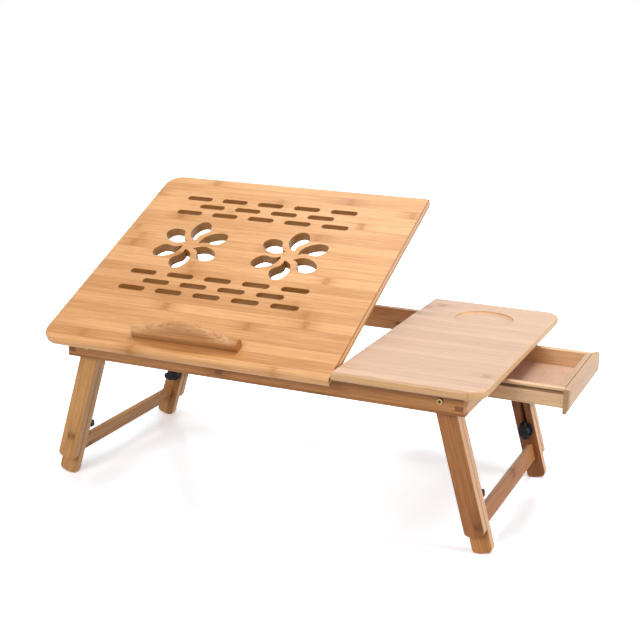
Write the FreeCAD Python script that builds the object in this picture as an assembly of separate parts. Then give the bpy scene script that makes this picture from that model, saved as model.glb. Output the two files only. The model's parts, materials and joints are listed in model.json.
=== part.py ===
import FreeCAD, Part
import math
import os

# Folding bamboo laptop stand: a fixed side panel with a drawer under it, a tilting main panel,
# and two pairs of fold-in, height-adjustable legs. All sizes in millimetres.
#
# Table frame: x = 0 at the left edge of the fixed panel, y = 0 at its front edge, z = 0 on the floor.
# The finished parts are moved so that the origin is at the middle of the whole outline, on the floor.

# --- table top ---
top_depth = 357.0
fixed_width = 172.0
tilt_width = 379.0
split_gap = 1.0
panel_thickness = 11.5
panel_corner = 22.0
panel_edge_round = 4.0
table_height = 205.5
cup_radius = 36.7
cup_depth = 2.6
cup_floor_round = 1.6
cup_from_back = 73.0
cup_from_side = 82.0

# --- vents and flower cut-outs in the tilting panel ---
vent_length = 36.8
vent_width = 9.0
vent_column_pitch = 52.4
vent_row_pitch = 16.4
vent_wide_row = 5
vent_group_rows = 3
vent_group_spread = 164.6
vent_offset = -14.5
vent_middle = 208.6
flower_radius = 49.2
flower_pitch = 140.0
flower_middle = 207.2
flower_petals = 6
# One petal as shares of the flower's radius: it points along +Y and its tip is the first point.
petal_outline = [(0.06, 0.21), (-0.08, 0.27), (-0.20, 0.41), (-0.25, 0.62), (-0.21, 0.84),
                 (-0.06, 1.0), (0.12, 0.97), (0.23, 0.82), (0.26, 0.66), (0.19, 0.54),
                 (0.08, 0.43), (0.045, 0.32), (0.06, 0.21)]

# --- book stop ---
stop_length = 139.0
stop_depth = 13.0
stop_end_height = 12.6
stop_middle_height = 27.4
stop_edge_round = 6.2
stop_setback = 21.5

# --- frame under the top ---
rail_height = 28.8
rail_thickness = 9.0
end_rail_thickness = 12.4
rail_setback = 29.0
frame_inset_left = 18.8
frame_inset_right = 26.1
corner_fingers = 5
frame_corner_round = 4.0
rail_edge_round = 1.2
centre_rail_thickness = 10.0
stub_tenon = 4.0
tenon_width_share = 0.6     # of the centre rail's thickness
tenon_height_share = 0.64   # of the rail's height
batten_width = 10.0
batten_height = 12.0
batten_inset = 4.0
batten_overhang = 12.0

# --- tilt ---
tilt_rest = 24.8
panel_rest_gap = 2.6
hinge_length = 40.0
hinge_spacing = 210.0
hinge_leaf = 1.2
hinge_leaf_width = 15.0
hinge_knuckle_radius = 2.6
hinge_pin_radius = 1.2
hinge_gap = 0.3
hinge_screw_share = 0.62    # from the pin, of the leaf's width
hinge_screw_spread = 0.3    # from the middle, of the hinge's length

# --- prop under the tilting panel ---
prop_pivot_from_hinge = 105.0
prop_pivot_drop = 6.3
prop_length = 75.0
prop_arm_thickness = 7.0
prop_arm_height = 11.6
prop_rod_radius = 4.0
prop_per_tilt = 2.6
prop_pin_radius = 2.0
prop_pin_head_radius = 3.5
lug_thickness = 8.0
lug_length = 28.0
lug_height = 12.0
lug_screw_spread = 0.32     # from the middle, of the lug's length
notch_depth = 1.6
notch_crest_gap = 0.3
notch_sides = 0.3
notch_angles = [10.0, 18.0, 24.8, 30.0, 35.0]

# --- legs ---
leg_width = 23.8
leg_thickness = 11.4
leg_edge_round = 1.2
leg_end_round = 6.0
pivot_inset = 29.1
upper_leg_reach = 161.0
leg_travel = 80.0
stud_from_pivot = 120.5
stud_radius = 3.0
stud_depth = 8.0
slot_clearance = 0.4
slot_end_wood = 17.0
foot_facet = 1.0
leg_stop_gap = 0.2
stretcher_height = 20.5
stretcher_thickness = 6.8
stretcher_from_pivot = 151.3
stretcher_housing = 4.0
stretcher_edge_round = 1.0
bolt_radius = 3.0
bolt_head_radius = 3.6
bolt_head_height = 2.4
nut_radius = 5.4
nut_height = 4.0
nut_clearance = 0.4
nut_play = 0.2

# --- wing knobs ---
knob_flange_radius = 9.5
knob_flange_height = 3.5
knob_hub_radius = 6.5
knob_height = 14.0
wing_span = 22.0
wing_thickness = 6.0
wing_tip_round = 4.5
knob_thread_depth = 10.0
knob_gap = 0.2
knob_turns = [164.0, 151.0, 8.0, 90.0]

# --- drawer ---
drawer_open = 89.0
drawer_width = 152.0
drawer_side_height = 22.8
drawer_length = 126.0
drawer_wall = 8.0
drawer_cross_wall = 7.0
drawer_floor_thickness = 2.8
drawer_floor_rebate = 3.0
drawer_drop = 4.5
drawer_edge_round = 1.2
drawer_front_thickness = 7.5
drawer_front_width = 160.5
drawer_front_height = 28.2
drawer_front_round = 2.5
drawer_front_bevel_height = 7.0
drawer_front_bevel_depth = 4.0
drawer_seam_round = 0.8
groove_height = 4.0
groove_depth = 4.0
groove_drop = 3.0
runner_width = 8.0
runner_height = 15.0
runner_screw_places = (0.2, 0.8)
floor_lift = 0.2
mouth_clearance = 2.0

# --- fits and fasteners ---
running_clearance = 0.05
side_clearance = 0.4
bar_gap = 0.6
screw_radius = 1.5
screw_head_radius = 2.8
screw_head_height = 1.2
screw_clearance = 0.05
screw_bite = 7.0
driver_slot_width = 1.0
driver_slot_share = 0.6     # how far the cross reaches, of the head's radius
last_bite_share = 0.6       # how deep a screw's tip goes into the last piece, of its thickness

# --- heights and places worked out from the sizes above ---
under_top = table_height - panel_thickness
rail_bottom = under_top - rail_height
rail_front = rail_setback
rail_back = top_depth - rail_setback
frame_left = -split_gap - tilt_width + frame_inset_left
frame_right = fixed_width - frame_inset_right
tilt_left = -split_gap - tilt_width
middle_y = top_depth / 2
centre_x = (frame_left + frame_right) / 2
tilt_under = under_top + panel_rest_gap
hinge_offset = hinge_knuckle_radius + hinge_gap
hinge_y = rail_front - hinge_offset
hinge_z = tilt_under - hinge_offset
hinge_point = FreeCAD.Vector(0, hinge_y, hinge_z)
pivot_z = under_top - rail_height / 2
pivot_left = frame_left + pivot_inset
pivot_right = frame_right - pivot_inset
upper_leg_front = rail_front + rail_thickness + side_clearance
lower_leg_front = upper_leg_front + leg_thickness + bar_gap
lower_leg_inner = lower_leg_front + leg_thickness
prop_pivot_y = hinge_y + prop_pivot_from_hinge
prop_pivot_z = tilt_under - prop_pivot_drop
drawer_top = under_top - drawer_drop
drawer_bottom = drawer_top - drawer_side_height
drawer_face = frame_right + drawer_open + drawer_front_thickness
mouth_half = drawer_width / 2 + mouth_clearance
rail_screw_bite = rail_thickness - stub_tenon - side_clearance


def leg_splay():
    """Angle at which a leg's outer edge comes to rest on the lower inner edge of its end rail."""
    across = pivot_inset - end_rail_thickness
    down = rail_height / 2
    reach = math.hypot(across, down)
    stop = leg_width / 2 + leg_stop_gap
    return math.degrees(math.acos(stop / reach) - math.atan2(down, across))


splay = leg_splay()
splay_sin = math.sin(math.radians(splay))
splay_cos = math.cos(math.radians(splay))


def leg_reach():
    """Distance from pivot to foot end that puts the trimmed lower corner of the foot on the floor."""
    corner = leg_width / 2 - leg_end_round
    drop = pivot_z + foot_facet - leg_end_round - corner * splay_sin
    return leg_end_round + drop / splay_cos


foot_reach = leg_reach()


def outline_middle():
    """Middle of the whole outline in x and y, with the drawer and the panel as they stand at rest."""
    leg_out = (foot_reach - leg_end_round) * splay_sin + (leg_width / 2 - leg_end_round) * splay_cos
    low_x = pivot_left - leg_out - leg_end_round
    tilt = math.radians(tilt_rest)
    front = hinge_y - hinge_y * math.cos(tilt) - hinge_offset * math.sin(tilt)
    round_in = panel_edge_round * (math.cos(tilt) + math.sin(tilt) - 1)
    low_y = front - panel_thickness * math.sin(tilt) + round_in
    return (low_x + drawer_face) / 2, (low_y + top_depth) / 2


origin_x, origin_y = outline_middle()


# --- small helpers ---

def vec(x, y, z):
    return FreeCAD.Vector(x, y, z)


def block(x0, x1, y0, y1, z0, z1):
    """A box between two opposite corners."""
    return Part.makeBox(x1 - x0, y1 - y0, z1 - z0, vec(x0, y0, z0))


def rod(radius, start, end):
    """A round bar between two points."""
    return Part.makeCylinder(radius, (end - start).Length, start, end - start)


def soften(shape, radius, chosen):
    """Round the edges of shape for which chosen(edge) is true."""
    edges = [edge for edge in shape.Edges if chosen(edge)]
    return shape.makeFillet(radius, edges)


def runs_along(axis, length):
    """Test for straight edges that run along an axis and are at least this long."""
    def test(edge):
        if not isinstance(edge.Curve, (Part.Line, Part.LineSegment)) or edge.Length < length:
            return False
        way = edge.tangentAt(edge.FirstParameter)
        return abs(abs(way.dot(axis)) - 1) < 1e-6
    return test


def in_plane_z(height):
    """Test for edges that lie in a horizontal plane."""
    return lambda edge: all(abs(v.Z - height) < 1e-6 for v in edge.Vertexes)


def mirror_front_to_back(shape):
    """The same piece on the other long side of the stand."""
    return shape.mirror(vec(0, middle_y, 0), vec(0, 1, 0))


def join(pieces):
    """Fuse pieces that overlap or touch into one solid."""
    whole = pieces[0]
    for piece in pieces[1:]:
        whole = whole.fuse(piece)
    return whole.removeSplitter()


def cut_all(shape, tools):
    for tool in tools:
        shape = shape.cut(tool)
    return shape


def group(solids):
    return Part.makeCompound(solids)


def countersunk_screw(head, way, length, grow=0.0):
    """A wood screw: head is the middle of the flat head, way points along the shank.
    With grow it is the hole that takes the screw."""
    cone = Part.makeCone(screw_head_radius + grow, screw_radius + grow, screw_head_height, head, way)
    return join([cone, rod(screw_radius + grow, head, head + way * (length + grow))])


def driven_screw(head, way, length):
    """A countersunk screw with a cross cut in its head."""
    screw = countersunk_screw(head, way, length)
    half = driver_slot_width / 2
    reach = screw_head_radius * driver_slot_share
    sides = [vec(1, 0, 0), vec(0, 1, 0), vec(0, 0, 1)]
    across = [side for side in sides if abs(side.dot(way)) < 0.5]
    for long_side, short_side in (across, across[::-1]):
        size = long_side * reach + short_side * half + way * (screw_head_height / 2)
        size = vec(abs(size.x), abs(size.y), abs(size.z))
        screw = screw.cut(Part.makeBox(2 * size.x, 2 * size.y, 2 * size.z, head - size))
    return screw


def screw_hole(head, way, length):
    return countersunk_screw(head, way, length, screw_clearance)


def screw_holes(heads, way, length):
    return [screw_hole(head, way, length) for head in heads]


# --- table top ---

def panel_blank(left, right, under, rounded_side, ease_inner):
    """A panel with two rounded corners on its outer side (-1 left, +1 right) and eased edges.
    The edge at the split is eased only where ease_inner is true."""
    blank = block(left, right, 0, top_depth, under, under + panel_thickness)
    outer = left if rounded_side < 0 else right
    blank = soften(blank, panel_corner,
                   lambda e: runs_along(vec(0, 0, 1), 1)(e) and abs(e.Vertexes[0].X - outer) < 1e-6)
    inner = right if rounded_side < 0 else left

    def rim(edge):
        flat = in_plane_z(under)(edge) or in_plane_z(under + panel_thickness)(edge)
        return flat and (ease_inner or not all(abs(v.X - inner) < 1e-6 for v in edge.Vertexes))
    return soften(blank, panel_edge_round, rim)


def make_fixed_panel():
    panel = panel_blank(0, fixed_width, under_top, 1, True)
    middle = vec(fixed_width - cup_from_side, top_depth - cup_from_back, table_height - cup_depth)
    recess = Part.makeCylinder(cup_radius, cup_depth + 1, middle)
    recess = soften(recess, cup_floor_round, in_plane_z(middle.z))
    return panel.cut(recess)


def vent(x, y):
    """Cutter for one slot with round ends, across the panel."""
    half = (vent_length - vent_width) / 2
    low, high = tilt_under - 1, tilt_under + panel_thickness + 1
    ends = [rod(vent_width / 2, vec(x + side * half, y, low), vec(x + side * half, y, high))
            for side in (-1, 1)]
    return join([block(x - half, x + half, y - vent_width / 2, y + vent_width / 2, low, high)] + ends)


def vent_places():
    """Middles of the vents: two groups of rows, the middle row of each one short and staggered."""
    across = tilt_left + tilt_width / 2 + vent_offset
    places = []
    for group_side in (-1, 1):
        group_y = vent_middle + group_side * vent_group_spread / 2
        for row in range(vent_group_rows):
            count = vent_wide_row - row % 2
            y = group_y + (row - (vent_group_rows - 1) / 2) * vent_row_pitch
            first = across - (count - 1) / 2 * vent_column_pitch
            places += [(first + column * vent_column_pitch, y) for column in range(count)]
    return places


def petal(x, y, turn):
    """Cutter for one petal of a flower whose middle is at x, y."""
    points = [vec(flower_radius * across, flower_radius * along, 0) for across, along in petal_outline]
    curve = Part.BSplineCurve()
    curve.interpolate(points)
    face = Part.Face(Part.Wire([curve.toShape()]))
    cutter = face.extrude(vec(0, 0, panel_thickness + 2))
    cutter.rotate(vec(0, 0, 0), vec(0, 0, 1), turn)
    cutter.translate(vec(x, y, tilt_under - 1))
    return cutter


def flower_cutters():
    across = tilt_left + tilt_width / 2 + vent_offset
    step = 360 / flower_petals
    return [petal(across + side * flower_pitch / 2, flower_middle, index * step)
            for side in (-1, 1) for index in range(flower_petals)]


def stop_screw_heads():
    """Heads of the two screws that hold the book stop, on the panel's underside."""
    x = tilt_left + tilt_width / 2
    y = stop_setback + stop_depth / 2
    return [vec(x + side * stop_length / 4, y, tilt_under) for side in (-1, 1)]


def hinge_middles():
    x = tilt_left + tilt_width / 2
    return [x - hinge_spacing / 2, x + hinge_spacing / 2]


def hinge_panel_screw_heads():
    y = hinge_y - hinge_leaf_width * hinge_screw_share
    return [vec(x + side * hinge_length * hinge_screw_spread, y, tilt_under - hinge_leaf)
            for x in hinge_middles() for side in (-1, 1)]


def hinge_rail_screw_heads():
    z = hinge_z - hinge_leaf_width * hinge_screw_share
    return [vec(x + side * hinge_length * hinge_screw_spread, rail_front - hinge_leaf, z)
            for x in hinge_middles() for side in (-1, 1)]


def lug_middles():
    """Middle x of the two lugs, one each side of the centre rail."""
    offset = centre_rail_thickness / 2 + 2 * side_clearance + lug_thickness / 2
    return [centre_x - offset, centre_x + offset]


def lug_screw_heads():
    z = tilt_under - lug_height
    reach = lug_length * lug_screw_spread
    return [vec(x, prop_pivot_y + side * reach, z) for x in lug_middles() for side in (-1, 1)]


stop_screw_length = panel_thickness + stop_end_height - 2
lug_screw_length = lug_height + panel_thickness * last_bite_share


def make_tilt_panel():
    panel = panel_blank(tilt_left, -split_gap, tilt_under, -1, False)
    panel = cut_all(panel, [vent(x, y) for x, y in vent_places()] + flower_cutters())
    holes = screw_holes(stop_screw_heads(), vec(0, 0, 1), stop_screw_length)
    holes += screw_holes(hinge_panel_screw_heads(), vec(0, 0, 1), hinge_leaf + screw_bite)
    holes += screw_holes(lug_screw_heads(), vec(0, 0, 1), lug_screw_length)
    return cut_all(panel, holes)


def make_book_stop():
    """A bar that swells to a hump in the middle, with rounded long top edges and flat ends."""
    middle = tilt_left + tilt_width / 2
    low, high = tilt_under + panel_thickness, tilt_under + panel_thickness + stop_end_height
    front, rise = stop_setback, stop_middle_height - stop_end_height
    steps = [step / 4 for step in range(-4, 5)]
    hump = Part.BSplineCurve()
    hump.interpolate(Points=[vec(middle + stop_length / 2 * step, front,
                                 high + rise * (1 + math.cos(math.pi * step)) / 2) for step in steps],
                     InitialTangent=vec(1, 0, 0), FinalTangent=vec(1, 0, 0))
    left, right = middle - stop_length / 2, middle + stop_length / 2
    sides = [Part.makeLine(vec(right, front, high), vec(right, front, low)),
             Part.makeLine(vec(right, front, low), vec(left, front, low)),
             Part.makeLine(vec(left, front, low), vec(left, front, high))]
    bar = Part.Face(Part.Wire([hump.toShape()] + sides)).extrude(vec(0, stop_depth, 0))
    bar = soften(bar, stop_edge_round, lambda e: isinstance(e.Curve, Part.BSplineCurve))
    return cut_all(bar, screw_holes(stop_screw_heads(), vec(0, 0, 1), stop_screw_length))


# --- hinges ---

def hinge_knuckles(middle, panel_side):
    """Knuckle spans along x of one butt hinge: the outer two are on the rail, the inner one on the panel."""
    third = hinge_length / 3
    start = middle - hinge_length / 2
    if panel_side:
        return [(start + third, start + 2 * third)]
    return [(start, start + third - hinge_gap), (start + 2 * third + hinge_gap, start + hinge_length)]


def hinge_leaf_solid(middle, panel_side):
    """One leaf with its knuckles; the rail's leaf hangs down from the pin, the panel's points forward."""
    left, right = middle - hinge_length / 2, middle + hinge_length / 2
    if panel_side:
        plate = block(left, right, hinge_y - hinge_leaf_width, hinge_y, tilt_under - hinge_leaf, tilt_under)
        bore = hinge_pin_radius + running_clearance
        heads = screw_holes(hinge_panel_screw_heads(), vec(0, 0, 1), screw_bite)
    else:
        plate = block(left, right, rail_front - hinge_leaf, rail_front, hinge_z - hinge_leaf_width, hinge_z)
        bore = hinge_pin_radius
        heads = screw_holes(hinge_rail_screw_heads(), vec(0, 1, 0), rail_screw_bite)
    for start, end in hinge_knuckles(middle, not panel_side):
        swept = rod(hinge_knuckle_radius + hinge_gap, hinge_point + vec(start - hinge_gap, 0, 0),
                    hinge_point + vec(end + hinge_gap, 0, 0))
        plate = plate.cut(swept)
    barrels = [rod(hinge_knuckle_radius, hinge_point + vec(start, 0, 0), hinge_point + vec(end, 0, 0))
               for start, end in hinge_knuckles(middle, panel_side)]
    leaf = join([plate] + barrels)
    pin_hole = rod(bore, hinge_point + vec(left - 1, 0, 0), hinge_point + vec(right + 1, 0, 0))
    return cut_all(leaf, [pin_hole] + heads)


def make_hinge_leaves(panel_side):
    return group([hinge_leaf_solid(middle, panel_side) for middle in hinge_middles()])


def make_hinge_pins():
    half = vec(hinge_length / 2, 0, 0)
    places = [hinge_point + vec(middle, 0, 0) for middle in hinge_middles()]
    return group([rod(hinge_pin_radius, place - half, place + half) for place in places])


# --- prop under the tilting panel ---

def prop_path(tilt):
    """Where the middle of the prop's foot rod is, in y and z, at one angle of the panel."""
    panel, prop = math.radians(tilt), math.radians((1 - prop_per_tilt) * tilt)
    down = hinge_offset - prop_pivot_drop
    y = hinge_y + prop_pivot_from_hinge * math.cos(panel) - down * math.sin(panel)
    z = hinge_z + prop_pivot_from_hinge * math.sin(panel) + down * math.cos(panel)
    return y + prop_length * math.cos(prop), z + prop_length * math.sin(prop)


def notch_crest():
    """Height of the tooth tips, just under the lowest point of the foot rod's path."""
    heights = [prop_path(step / 2)[1] for step in range(int(2 * notch_angles[-1]) + 1)]
    return min(heights) - prop_rod_radius - notch_crest_gap


def make_prop_lugs():
    lugs = []
    for x in lug_middles():
        half, low = lug_thickness / 2, tilt_under - lug_height
        lug = block(x - half, x + half, prop_pivot_y - lug_length / 2, prop_pivot_y + lug_length / 2,
                    low, tilt_under)
        across = runs_along(vec(1, 0, 0), half)
        lug = soften(lug, lug_height / 3, lambda e: across(e) and in_plane_z(low)(e))
        holes = screw_holes(lug_screw_heads(), vec(0, 0, 1), lug_screw_length)
        pivot = vec(x, prop_pivot_y, prop_pivot_z)
        holes.append(rod(prop_pin_radius, pivot - vec(lug_thickness, 0, 0), pivot + vec(lug_thickness, 0, 0)))
        lugs.append(cut_all(lug, holes))
    return group(lugs)


def arm_span(side):
    """Inner and outer x of one prop arm, measured outwards from its lug."""
    inner = lug_middles()[1] - centre_x + lug_thickness / 2 + side_clearance
    faces = [centre_x + side * inner, centre_x + side * (inner + prop_arm_thickness)]
    return faces[0], faces[1]


def make_prop_pins():
    pins = []
    for side, lug_x in zip((-1, 1), lug_middles()):
        outer = arm_span(side)[1] + side * side_clearance
        start = vec(lug_x - side * lug_thickness / 2, prop_pivot_y, prop_pivot_z)
        end = vec(outer, prop_pivot_y, prop_pivot_z)
        head = rod(prop_pin_head_radius, end, end + vec(side * hinge_leaf, 0, 0))
        pins.append(join([rod(prop_pin_radius, start, end), head]))
    return group(pins)


def make_prop_arm(side):
    """One arm, drawn flat under the panel: the pin end first, the foot rod end towards the back."""
    faces = sorted(arm_span(side))
    half = prop_arm_height / 2
    pivot, foot = vec(0, prop_pivot_y, prop_pivot_z), vec(0, prop_pivot_y + prop_length, prop_pivot_z)
    left, right = vec(faces[0], 0, 0), vec(faces[1], 0, 0)
    bar = block(faces[0], faces[1], pivot.y, foot.y, pivot.z - half, pivot.z + half)
    arm = join([bar, rod(half, pivot + left, pivot + right), rod(half, foot + left, foot + right)])
    arm = soften(arm, rail_edge_round, lambda e: abs(e.Vertexes[0].X - e.Vertexes[-1].X) < 1e-6)
    pin_hole = rod(prop_pin_radius + running_clearance, pivot + left, pivot + right)
    return cut_all(arm, [pin_hole, rod(prop_rod_radius, foot + left, foot + right)])


def make_prop_foot_rod():
    foot = vec(0, prop_pivot_y + prop_length, prop_pivot_z)
    return rod(prop_rod_radius, foot + vec(arm_span(-1)[1], 0, 0), foot + vec(arm_span(1)[1], 0, 0))


# --- frame ---

def frame_blank():
    """The outline of the whole frame, with rounded corners and an eased lower rim."""
    blank = block(frame_left, frame_right, rail_front, rail_back, rail_bottom, under_top)
    blank = soften(blank, frame_corner_round, runs_along(vec(0, 0, 1), 1))
    return soften(blank, rail_edge_round, in_plane_z(rail_bottom))


def finger_blocks(which):
    """Blocks that fill every second finger at all four corners: 0 for the long rails, 1 for the ends."""
    finger = rail_height / corner_fingers
    blocks = []
    for index in range(which, corner_fingers, 2):
        low = rail_bottom + index * finger
        for x in (frame_left, frame_right - end_rail_thickness):
            for y in (rail_front, rail_back - rail_thickness):
                blocks.append(block(x, x + end_rail_thickness, y, y + rail_thickness, low, low + finger))
    return blocks


def tenon(grow):
    """The stub tenon on the front end of the centre rail; with grow it also cuts a clean mortise."""
    half = centre_rail_thickness * tenon_width_share / 2
    inner = rail_front + rail_thickness
    middle, rise = rail_bottom + rail_height / 2, rail_height * tenon_height_share / 2
    return block(centre_x - half, centre_x + half, inner - stub_tenon, inner + grow,
                 middle - rise, middle + rise)


def make_front_rail():
    inner = rail_front + rail_thickness
    rail = block(frame_left, frame_right, rail_front, inner, rail_bottom, under_top).common(frame_blank())
    holes = [rod(bolt_radius, vec(x, rail_front - 1, pivot_z), vec(x, inner + 1, pivot_z))
             for x in (pivot_left, pivot_right)]
    return cut_all(rail, finger_blocks(1) + [tenon(1)] + holes)


def hinge_screw_holes():
    return screw_holes(hinge_rail_screw_heads(), vec(0, 1, 0), hinge_leaf + rail_screw_bite)


def make_end_rail(left, right):
    rail = block(left, right, rail_front, rail_back, rail_bottom, under_top).common(frame_blank())
    return cut_all(rail, finger_blocks(0))


def make_right_end_rail():
    """The right end rail bridges the drawer: it is cut open from below as wide as the drawer."""
    rail = make_end_rail(frame_right - end_rail_thickness, frame_right)
    mouth = block(frame_right - end_rail_thickness - 1, frame_right + 1, middle_y - mouth_half,
                  middle_y + mouth_half, rail_bottom - 1, drawer_top + mouth_clearance / 2)
    return rail.cut(mouth)


def make_centre_rail():
    """Cross rail with a toothed recess for the prop's foot rod."""
    half = centre_rail_thickness / 2
    inner = rail_front + rail_thickness
    rail = block(centre_x - half, centre_x + half, inner, top_depth - inner, rail_bottom, under_top)
    rail = join([rail, tenon(0), mirror_front_to_back(tenon(0))])
    crest = notch_crest()
    back, front = prop_path(0)[0], prop_path(notch_angles[-1])[0]
    margin = 1.5 * prop_rod_radius
    recess = block(centre_x - half - 1, centre_x + half + 1, front - margin, back + margin,
                   crest, under_top + 1)
    notch_radius = prop_rod_radius + notch_sides
    notches = []
    for angle in notch_angles:
        low = vec(centre_x, prop_path(angle)[0], crest - notch_depth + notch_radius)
        notches.append(rod(notch_radius, low - vec(half + 1, 0, 0), low + vec(half + 1, 0, 0)))
    return cut_all(rail, [recess] + notches)


batten_front = middle_y - drawer_width / 2 - side_clearance - runner_width - batten_overhang
batten_screw_length = batten_height + panel_thickness * last_bite_share
runner_screw_length = runner_height + panel_thickness * last_bite_share


def batten_screw_heads():
    x = batten_inset + batten_width / 2
    reach = middle_y - batten_front - batten_width
    return [vec(x, middle_y + share * reach, under_top - batten_height) for share in (-1, 0, 1)]


def make_cross_batten():
    batten = block(batten_inset, batten_inset + batten_width, batten_front, top_depth - batten_front,
                   under_top - batten_height, under_top)
    batten = soften(batten, rail_edge_round,
                    lambda e: runs_along(vec(0, 1, 0), 1)(e) and in_plane_z(under_top - batten_height)(e))
    return cut_all(batten, screw_holes(batten_screw_heads(), vec(0, 0, 1), batten_screw_length))


def runner_span():
    return batten_inset + batten_width, frame_right - end_rail_thickness


def runner_screw_heads():
    """Heads of the screws through the front runner, up into the fixed panel."""
    left, right = runner_span()
    y = middle_y - drawer_width / 2 - side_clearance - runner_width / 2
    return [vec(left + (right - left) * share, y, under_top - runner_height) for share in runner_screw_places]


def make_drawer_runner():
    """Front runner: an upright under the fixed panel with a tongue that carries the drawer's side."""
    left, right = runner_span()
    back = middle_y - drawer_width / 2 - side_clearance
    upright = block(left, right, back - runner_width, back, under_top - runner_height, under_top)
    high = drawer_top - groove_drop - side_clearance
    low = drawer_top - groove_drop - groove_height + side_clearance
    tongue = block(left, right, back, back + groove_depth, low, high)
    runner = join([upright, tongue])
    return cut_all(runner, screw_holes(runner_screw_heads(), vec(0, 0, 1), runner_screw_length))


# --- legs, drawn hanging straight down from the pivot at x = 0, z = 0 and then splayed ---

def place_leg(shape, side):
    """Splay a leg piece and hang it at its pivot; side is -1 for the left pair, +1 for the right."""
    placed = shape.copy()
    placed.rotate(vec(0, 0, 0), vec(0, 1, 0), -side * splay)
    placed.translate(vec(pivot_left if side < 0 else pivot_right, 0, pivot_z))
    return placed


def on_bar_face(front, back):
    """Test for the rim edges of a bar's two broad faces."""
    return lambda e: all(abs(v.Y - front) < 1e-6 for v in e.Vertexes) or \
        all(abs(v.Y - back) < 1e-6 for v in e.Vertexes)


def make_upper_leg():
    """Front upper bar: round at the pivot, with a seat for the nut and a blind hole for the stud."""
    half, front, back = leg_width / 2, upper_leg_front, upper_leg_front + leg_thickness
    bar = block(-half, half, front, back, -upper_leg_reach, 0)
    bar = soften(bar, leg_end_round, lambda e: runs_along(vec(0, 1, 0), 1)(e)
                 and abs(e.Vertexes[0].Z + upper_leg_reach) < 1e-6)
    bar = join([bar, rod(half, vec(0, front, 0), vec(0, back, 0))])
    bar = soften(bar, leg_edge_round, on_bar_face(front, back))
    seat = rod(nut_radius + nut_clearance, vec(0, back - nut_height - 2 * nut_play, 0), vec(0, back + 1, 0))
    bore = rod(bolt_radius + running_clearance, vec(0, front - 1, 0), vec(0, back + 1, 0))
    stud = rod(stud_radius, vec(0, back - stud_depth, -stud_from_pivot), vec(0, back + 1, -stud_from_pivot))
    return cut_all(bar, [seat, bore, stud])


def make_lower_leg():
    """Front lower bar with the long slot that slides on the stud; the foot is trimmed once it is splayed."""
    half, front, back = leg_width / 2, lower_leg_front, lower_leg_inner
    slot_half = stud_radius + slot_clearance
    top = stud_from_pivot - leg_travel - slot_half - slot_end_wood
    bar = block(-half, half, front, back, -foot_reach, -top)
    bar = soften(bar, leg_end_round, runs_along(vec(0, 1, 0), 1))
    bar = soften(bar, leg_edge_round, on_bar_face(front, back))
    high, low = -(stud_from_pivot - leg_travel), -stud_from_pivot
    slot = join([block(-slot_half, slot_half, front - 1, back + 1, low, high)]
                + [rod(slot_half, vec(0, front - 1, z), vec(0, back + 1, z)) for z in (low, high)])
    return cut_all(bar, [slot, stretcher_blank()])


def stretcher_blank():
    half, low = stretcher_thickness / 2, -stretcher_from_pivot - stretcher_height / 2
    start = lower_leg_inner - stretcher_housing
    return block(-half, half, start, top_depth - start, low, low + stretcher_height)


def make_stretcher():
    return soften(stretcher_blank(), stretcher_edge_round, runs_along(vec(0, 1, 0), top_depth / 2))


def trim_foot(shape):
    """Cut off whatever hangs below the floor, which leaves a flat facet on the foot."""
    box = shape.BoundBox
    return shape.cut(block(box.XMin - 1, box.XMax + 1, box.YMin - 1, box.YMax + 1, -2 * foot_facet, 0))


def make_knob_stud():
    end = lower_leg_inner + knob_gap + knob_thread_depth
    return rod(stud_radius, vec(0, upper_leg_front + leg_thickness - stud_depth, -stud_from_pivot),
               vec(0, end, -stud_from_pivot))


def make_wing_knob(turn):
    """Wing knob on the front stud: a flange, a hub and a bar of two wings turned by an angle."""
    base = vec(0, lower_leg_inner + knob_gap, -stud_from_pivot)
    flange_top = base + vec(0, knob_flange_height, 0)
    flange = rod(knob_flange_radius, base, flange_top)
    flange = soften(flange, 1.0, lambda e: abs(e.Vertexes[0].Y - flange_top.y) < 1e-6)
    hub = rod(knob_hub_radius, flange_top, base + vec(0, knob_height, 0))
    hub = soften(hub, 1.0, lambda e: abs(e.Vertexes[0].Y - base.y - knob_height) < 1e-6)
    half, thick = wing_span / 2, wing_thickness / 2
    wings = block(-half, half, flange_top.y, base.y + knob_height - 1, base.z - thick, base.z + thick)
    wings = soften(wings, wing_tip_round, lambda e: runs_along(vec(0, 0, 1), 1)(e)
                   and abs(e.Vertexes[0].Y - flange_top.y) > 1)
    wings.rotate(base, vec(0, 1, 0), turn)
    thread = rod(stud_radius + running_clearance, base - vec(0, 1, 0),
                 base + vec(0, knob_thread_depth + knob_gap, 0))
    return join([flange, hub, wings]).cut(thread)


def hexagon_nut(middle, way, radius, height):
    turns = [math.radians(60 * corner) for corner in range(7)]
    corners = [middle + vec(radius * math.cos(turn), 0, radius * math.sin(turn)) for turn in turns]
    return Part.Face(Part.makePolygon(corners)).extrude(way * height)


def pivot_places():
    return [vec(pivot_left, 0, pivot_z), vec(pivot_right, 0, pivot_z)]


def make_pivot_bolts():
    """Pan-head bolts through the rails; the front two are drawn and the rear two are their mirror images."""
    bolts = []
    for place in pivot_places():
        face, end = place + vec(0, rail_front, 0), upper_leg_front + leg_thickness - nut_play
        head = rod(bolt_head_radius, face - vec(0, bolt_head_height, 0), face)
        outer_y = face.y - bolt_head_height
        head = soften(head, bolt_head_height / 3, lambda e: abs(e.Vertexes[0].Y - outer_y) < 1e-6)
        half, reach = driver_slot_width / 2, bolt_head_radius * driver_slot_share
        crosses = [block(face.x - a, face.x + a, outer_y - 1, outer_y + bolt_head_height / 2,
                         face.z - b, face.z + b) for a, b in ((half, reach), (reach, half))]
        shank = rod(bolt_radius, face, vec(place.x, end, place.z))
        bolts.append(join([cut_all(head, crosses), shank]))
    return group(bolts + [mirror_front_to_back(bolt) for bolt in bolts])


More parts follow.
